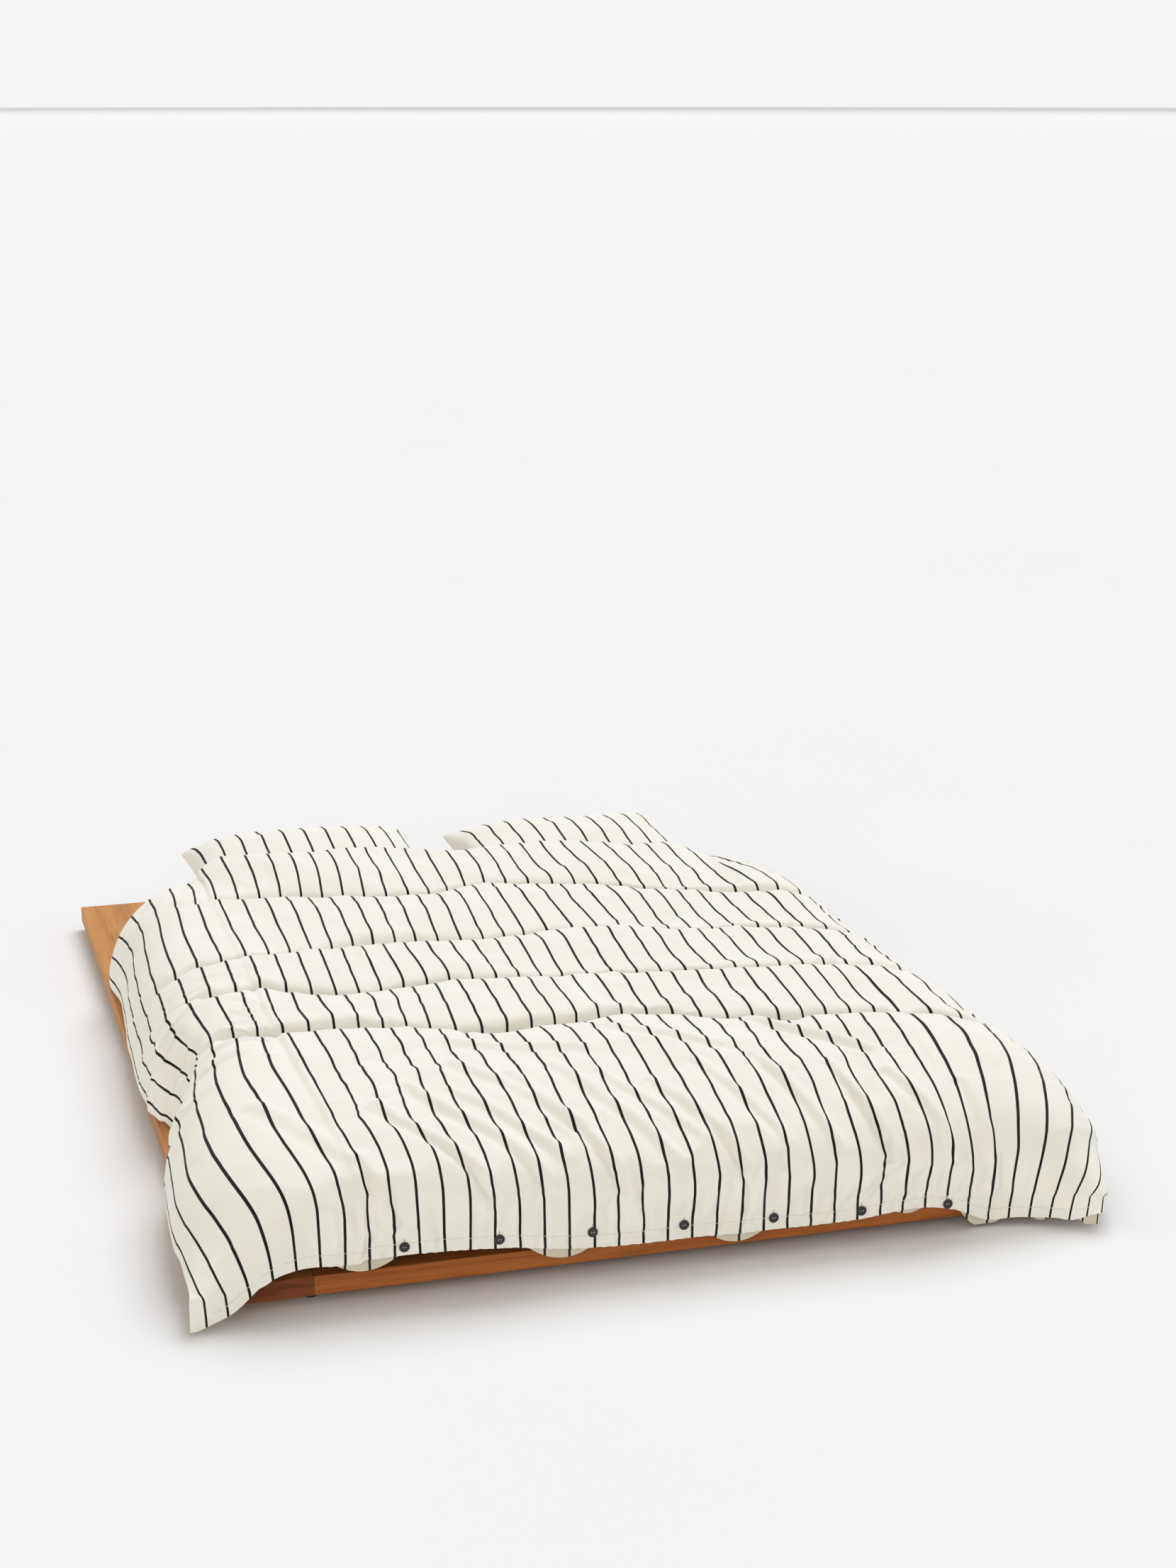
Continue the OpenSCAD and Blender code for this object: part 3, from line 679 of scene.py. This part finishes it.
def settle(points, hold, tight):
    """Cloth simulation of a grid that is held softly to its shape, with loose cloth where tight is low."""
    piece = grid_object("loose", points, np.zeros((1, 1)), np.zeros((1, 1)))
    pins = piece.vertex_groups.new(name="hold")
    snug = piece.vertex_groups.new(name="tight")
    for i, (h, s) in enumerate(zip(hold.ravel().tolist(), tight.ravel().tolist())):
        pins.add([i], h, "REPLACE")
        snug.add([i], s, "REPLACE")
    cloth = piece.modifiers.new("cloth", "CLOTH")
    settings = cloth.settings
    settings.quality = 4
    settings.mass = 0.18
    settings.tension_stiffness = settings.compression_stiffness = 22
    settings.shear_stiffness = 8
    settings.bending_stiffness = 0.3
    settings.effector_weights.gravity = 0
    settings.vertex_group_mass = "hold"
    settings.pin_stiffness = 1.0
    settings.vertex_group_shrink = "tight"
    settings.shrink_min = -MOST_SLACK
    settings.shrink_max = 0.0
    cloth.collision_settings.use_collision = False
    cloth.point_cache.frame_start = 1
    cloth.point_cache.frame_end = SIM_FRAMES
    scene = bpy.context.scene
    for f in range(1, SIM_FRAMES + 1):
        scene.frame_set(f)
    apply_modifiers(piece)
    settled = np.zeros(points.size)
    piece.data.vertices.foreach_get("co", settled)
    scene.frame_set(1)
    bpy.data.objects.remove(piece)
    return settled.reshape(points.shape)


def top_shape():
    """Coarse and fine places of the striped top, with the cloth's own coordinates."""
    points, u, v = lay(profile, top_hem, SHOULDER_X, LEDGE_Z + LEDGE_GAP, 0.0)
    points = drop_corners(points, u, v)
    points = add_relief(points, u, v)
    middle = smooth(0.9, 0.6, np.abs(u)) * np.ones_like(v)
    hold = 0.02 + 0.30 * smooth(0.10, 0.0, v) * np.ones_like(u)
    hold[0, :] = 0.8
    near_corner = smooth(0.40, 0.20, np.hypot(COVER_W / 2 - np.abs(u), v))[..., None]
    moved = (settle(points, hold, 0.4 * middle) - points) * (1 - near_corner)
    far = np.linalg.norm(moved, axis=-1, keepdims=True)
    points = points + moved * np.minimum(1, MOST_MOVE / np.maximum(far, 1e-9))
    coarse = stay_clear(points)
    u = np.linspace(u[0, 0], u[0, -1], 2 * COLUMNS - 1)[None, :]
    v = np.linspace(0, COVER_L, 2 * ROWS - 1)[:, None]
    fine = stay_clear(add_creases(finer(coarse), u, v))
    return coarse, fine, u, v


def under_shape(coarse):
    """The duvet's underside: on the ledge at the foot, then on the mattress, and up over the pillows."""
    front, u, v = lay(under_profile, under_hem, UNDER_SHOULDER_X, LEDGE_Z + LEDGE_GAP / 2, 0.004)
    front = drop_corners(front, u, v)
    near_corner = smooth(0.30, 0.10, np.hypot(COVER_W / 2 - np.abs(u), v))
    front[..., 1] += 0.004 * near_corner
    front[..., 0] -= np.sign(u) * 0.004 * near_corner
    x, y, z = (coarse[..., k] for k in range(3))
    flat = LEDGE_Z + 0.004 + (MATTRESS_Z - LEDGE_Z) * smooth(0.76, 0.66, np.abs(x))
    over = smooth(0.42, 0.50, y) * smooth(0.66, 0.57, np.abs(x))
    level = np.minimum(flat + (z - 0.018 - flat) * over, z - 0.006)
    rear = np.stack([x * 0.995, y - 0.004 * smooth(COVER_L - 0.2, COVER_L, v), level], -1)
    at_foot = smooth(0.55, 0.35, v)[..., None] * np.ones_like(rear)
    points = rear + (front - rear) * at_foot
    points[..., 2] = np.maximum(points[..., 2], 0.005)
    return points, u, v


def bend_at_turn_line(piece):
    """Bakes the piece's placement into its mesh."""
    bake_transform(piece)


# The rows and columns of the coarse grid that the filling takes up, and the fine rows that the facing covers
FILLED = (slice(14, -6), slice(20, -20))
BAND_ROWS = 13


def duvet():
    """The cover's two sheets, the filling between them, the facing inside the hem, and the sewing."""
    coarse, fine, u, v = top_shape()
    top = grid_object("duvet_cover_top", fine, u, v)
    top.data.materials.append(COTTON)
    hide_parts("cover_top_foot", "cover_top_head", "cover_corner_left", "cover_corner_right")
    bend_at_turn_line(top)

    below, bu, bv = under_shape(coarse)
    bottom = grid_object("duvet_cover_bottom", below, bu, bv)
    # Painted shade: the underside's cotton is darkened as if in shadow
    bottom.data.materials.append(SHADED_REVERSE)
    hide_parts("cover_bottom_foot", "cover_bottom_head")
    bend_at_turn_line(bottom)

    upper = (coarse - 0.007 * normals(coarse))[FILLED]
    lower = below[FILLED] + np.array([0, 0, 0.002])
    lower[..., 2] = np.minimum(lower[..., 2], upper[..., 2] - 0.0005)
    su, sv = np.broadcast_arrays(bu, bv)
    filling = closed_object("duvet_filling", upper, lower, su[FILLED], sv[FILLED])
    filling.data.materials.append(FILLING)
    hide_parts("duvet_filling_foot", "duvet_filling_head")
    bend_at_turn_line(filling)

    band = fine[:BAND_ROWS] + 0.0016 * np.array([0, 1, 0.3])
    facing = grid_object("hem_facing_band", band, u, v[:BAND_ROWS])
    # Painted shade: the facing's cotton is darkened as if in shadow
    facing.data.materials.append(SHADED_REVERSE)
    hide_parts("hem_facing")
    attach(facing, "duvet_foot_half")
    hem_stitching(fine)
    button_sewing()


# The faces of one bar, by its eight corners
BAR_FACES = ((0, 1, 2, 3), (7, 6, 5, 4), (0, 4, 5, 1), (1, 5, 6, 2), (2, 6, 7, 3), (3, 7, 4, 0))


def sticks(name, ends, width, thickness, material):
    """Small flat eight-cornered bars, each from one end to another, lying on a surface that faces out."""
    verts, faces = [], []
    for a, b, out in ends:
        a, b, out = (np.array(p, float) for p in (a, b, out))
        along = b - a
        side = np.cross(out, along)
        side *= width / 2 / max(np.linalg.norm(side), 1e-9)
        up = out / max(np.linalg.norm(out), 1e-9) * thickness
        start = len(verts)
        for end, pull in ((a, along), (b, -along)):
            verts += [end - side, end + side]
            verts += [end + side * 0.6 + up + pull * 0.12, end - side * 0.6 + up + pull * 0.12]
        faces += [tuple(start + k for k in f) for f in BAR_FACES]
    mesh = bpy.data.meshes.new(name)
    mesh.from_pydata([tuple(p) for p in verts], [], faces)
    mesh.materials.append(material)
    piece = add_object(name, mesh)
    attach(piece, "duvet_foot_half")


def hem_stitching(fine):
    """One row of stitches along the foot hem, a little above its edge."""
    row = fine[4] * 0.4 + fine[5] * 0.6
    line = evenly(np.concatenate([row, normals(fine)[4]], 1), 1521)
    out = line[:, 3:] / np.maximum(np.linalg.norm(line[:, 3:], axis=1, keepdims=True), 1e-9)
    seam = line[:, :3] + out * 0.0002
    ends = [(seam[i], seam[i + 3], out[i]) for i in range(8, len(line) - 12, 4)]
    sticks("hem_stitches", ends, 0.0009, 0.0004, THREAD)


def button_sewing():
    """The thread in each button's two holes, the stitched buttonhole that it comes through, and a black line
    of painted shade in each buttonhole's slit.
    """
    forward = (0, -1, 0)
    thread_y, edge_y, slit_shade_y = BUTTON_BOX[0].y + 0.0009, FRONT_Y - 0.0001, FRONT_Y - 0.0006
    thread, edges, slit_shades = [], [], []
    for x, z in BUTTONS:
        thread.append(((x - 0.0034, thread_y, z), (x - 0.0010, thread_y, z), forward))
        thread.append(((x + 0.0010, thread_y, z), (x + 0.0034, thread_y, z), forward))
        edges.append(((x, edge_y, z + 0.003), (x, edge_y, z + 0.0155), forward))
        slit_shades.append(((x, slit_shade_y, z + 0.004), (x, slit_shade_y, z + 0.0145), forward))
    sticks("button_threads", thread, 0.0012, 0.0006, THREAD)
    sticks("buttonhole_stitching", edges, 0.0030, 0.0006, THREAD)
    # A thin black bar in each buttonhole: painted shade where the slit's gap is dark
    sticks("buttonhole_slit_shades", slit_shades, 0.0008, 0.0002, BUTTON_BLACK)


# ---- Pillows and mattress ----

def closed_object(name, upper, lower, u, v):
    """A closed mesh from two grids that share their rim."""
    rows, columns = upper.shape[:2]
    index = np.arange(rows * columns).reshape(rows, columns)
    rim = np.zeros((rows, columns), bool)
    rim[[0, -1], :] = rim[:, [0, -1]] = True
    below = index.copy()
    below[~rim] = rows * columns + np.arange((~rim).sum())
    faces = np.concatenate([grid_faces(index), grid_faces(below)[:, ::-1]])
    points = np.concatenate([upper.reshape(-1, 3), lower[~rim]])
    uv = np.stack([u, v], -1)
    return cloth_object(name, points, faces, np.concatenate([uv.reshape(-1, 2), uv[~rim]]))


# Each pillow: its side, where its left, right, near and far edges are, the height of its crown, and its seed
PILLOWS = (("left", (-0.580, -0.028, 0.495, 0.905), 0.306, 11),
           ("right", (0.052, 0.588, 0.495, 0.892), 0.284, 15))
PILLOW_GRID = 81
PILLOW_WAIST = 0.085


def crown(s, t, square, fullness):
    """A dome from 0 at the edges to 1 in the middle; a higher square gives steeper edges."""
    return ((1 - np.abs(s) ** square) * (1 - np.abs(t) ** square)).clip(0) ** fullness


def pillow_shape(node, name, shrink, material, slot, body, plan, top, seed):
    """A crowned pillow, fullest towards the head, whose sides pull in between its corners."""
    low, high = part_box(node)
    x0, x1, y0, y1 = plan
    mid_x, mid_y, half_x, half_y = (x0 + x1) / 2, (y0 + y1) / 2, (x1 - x0) / 2, (y1 - y0) / 2
    s, t = np.meshgrid(np.linspace(-1, 1, PILLOW_GRID), np.linspace(-1, 1, PILLOW_GRID))
    seam_z = low.z + 0.40 * (high.z - low.z)
    x = s * (1 - PILLOW_WAIST * (1 - t * t) * np.abs(s) ** 3)
    y = t * (1 - PILLOW_WAIST * (1 - s * s) * np.abs(t) ** 3)
    dome = crown(s, t, 2.6, 0.43)
    pressed = 0.80 + 0.20 * smooth(-0.9, 0.5, t)
    seam = 0.010 * lumps(s * 2 + 4, t * 2 + 4, 1.1, seed + 3) * shrink
    ears = 0.010 * (np.abs(s) * np.abs(t)) ** 4
    parts = []
    for sign, rise in ((1, (top - seam_z) * pressed), (-1, seam_z - low.z)):
        z = seam_z + seam * (1 - dome) + ears + sign * rise * dome * shrink
        pucker = 0.0035 * ridges(s, t, 90, 0.22, 1.4, seed) * smooth(0.55, 0.95, np.abs(t)) * dome
        pucker = pucker + 0.0035 * ridges(s, t, 0, 0.22, 1.4, seed + 1) * smooth(0.6, 0.95, np.abs(s)) * dome
        wrinkle = (0.005 * lumps(s * 3 + 4, t * 3 + 4, 0.9, seed) * dome + pucker) * (sign > 0)
        parts.append(np.stack([mid_x + half_x * shrink * x, mid_y + half_y * shrink * y, z + wrinkle], -1))
    piece = subdivided(closed_object(name, *parts, mid_x + s * half_x, mid_y + t * half_y))
    piece.data.materials.append(material)
    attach(piece, body)
    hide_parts(node)


# The mattress keeps this far inside its CAD solid at the sides and the head, to stay hidden as in the photo
MATTRESS_INSET = (0.04, 0.06)
TUFT_PITCH = (0.20, 0.25)


def mattress_layer(name, node, shrink, material):
    """A crowned, soft-edged mattress layer in the space of a CAD node, tufted in a grid."""
    low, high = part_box(node)
    low.x, high.x = low.x + MATTRESS_INSET[0], high.x - MATTRESS_INSET[0]
    high.y -= MATTRESS_INSET[1]
    mid, half = (low + high) / 2, (high - low) / 2
    s, t = np.meshgrid(*(np.sin(np.linspace(-1, 1, n) * math.pi / 2) for n in (121, 161)))
    dome = crown(s, t, 7, 0.40)
    x, y = mid.x + (half.x - shrink) * s, mid.y + (half.y - shrink) * t
    tufts = 0.0
    if shrink == 0:
        dx, dy = (np.abs((a / pitch) % 1.0 - 0.5) * pitch for a, pitch in zip((x, y), TUFT_PITCH))
        tufts = 0.007 * np.exp(-((dx**2 + dy**2) / 0.025**2))
    seam_z = low.z + 0.35 * (high.z - low.z)
    worn = 1 - 0.40 * smooth(0.62, 0.94, y) * smooth(0.42, 0.66, np.abs(x))
    upper = seam_z + (high.z - seam_z - shrink) * dome * worn - tufts * dome
    lower = seam_z - (seam_z - low.z - shrink) * crown(s, t, 20, 0.5)
    piece = closed_object(name, np.stack([x, y, upper], -1), np.stack([x, y, lower], -1), x, y)
    piece.data.materials.append(material)
    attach(piece, "mattress")
    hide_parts(node)


# ---- Camera, floor and light ----

CAMERA_AT = (-1.3386, -5.2460, 2.0301)
CAMERA_DOWN = 14.92
CAMERA_RIGHT = 16.01
LENS = 61.8
SKY = (0.54, (1.0, 0.965, 0.91, 1))
# Each sun: its strength, its width in degrees, its colour and the way its light goes
KEY = (1.77, 38, (0.97, 1.0, 1.08), (-0.42, -0.62, -1.0))
FILL = (1.42, 60, (1.0, 0.95, 0.85), (0.62, 1.0, -0.12))
FLOOR_REACH = 150
BACKDROP_AWAY = 140


def look_from():
    """The camera at the standing viewer's place at the foot of the bed."""
    data = bpy.data.cameras.new("camera")
    data.sensor_width = 36.0
    data.lens = LENS
    data.clip_end = 200.0
    camera = add_object("camera", data)
    camera.location = CAMERA_AT
    camera.rotation_euler = (math.radians(90 - CAMERA_DOWN), 0, math.radians(-CAMERA_RIGHT))
    bpy.context.scene.camera = camera


def studio_floor():
    """A pale floor out to the horizon and a lit backdrop all round it."""
    across = np.linspace(-FLOOR_REACH, FLOOR_REACH, 31)
    x, y = np.meshgrid(across, across)
    floor = grid_object("studio_floor", np.stack([x, y, 0 * x], -1), x, y)
    n = Nodes("floor_paint")
    tone = n.ramp(n.noise(n.place((1, 1, 1)), 0.7, 2.0), [(0.3, (0.855,) * 3), (0.7, (0.865,) * 3)])
    floor.data.materials.append(n.finish(tone, 0.9, Specular_IOR_Level=0.0))
    turn, z = np.meshgrid(np.linspace(0, 2 * math.pi, 73), np.linspace(0, 20, 5))
    around = np.stack([BACKDROP_AWAY * np.cos(turn), BACKDROP_AWAY * np.sin(turn), z], -1)
    backdrop = grid_object("studio_backdrop", around, turn, z)
    glow = Nodes("backdrop_light")
    backdrop.data.materials.append(glow.finish(Emission_Color=(0.905, 0.905, 0.905, 1), Emission_Strength=1.0,
                                               Base_Color=(0, 0, 0, 1), Specular_IOR_Level=0.0))


def sun(name, strength, width, colour, way):
    data = bpy.data.lights.new(name, "SUN")
    data.energy = strength
    data.angle = math.radians(width)
    data.color = colour
    add_object(name, data).rotation_euler = Vector(way).to_track_quat("-Z", "Y").to_euler()


def studio_light():
    """A pale dome, a wide soft light from behind, above and to the right, and a fill from the foot's left."""
    world = bpy.data.worlds.new("studio")
    world.use_nodes = True
    background = world.node_tree.nodes["Background"]
    background.inputs["Strength"].default_value, background.inputs["Color"].default_value = SKY
    bpy.context.scene.world = world
    sun("key", *KEY)
    sun("fill", *FILL)
    bpy.context.scene.view_settings.view_transform = "Standard"


dress_frame()
duvet()
mattress_layer("mattress_ticking", "mattress_cover", 0.0, TICKING)
mattress_layer("mattress_foam", "mattress_core", 0.006, FOAM)
for side, *form in PILLOWS:
    case, pad, body = "pillowcase_" + side, "pillow_" + side, side + "_pillow"
    pillow_shape(case, case + "_cloth", 1.0, COTTON, "striped_cotton", body, *form)
    pillow_shape(pad, pad + "_pad", 0.975, FILLING, "filling", body, *form)
look_from()
studio_floor()
studio_light()
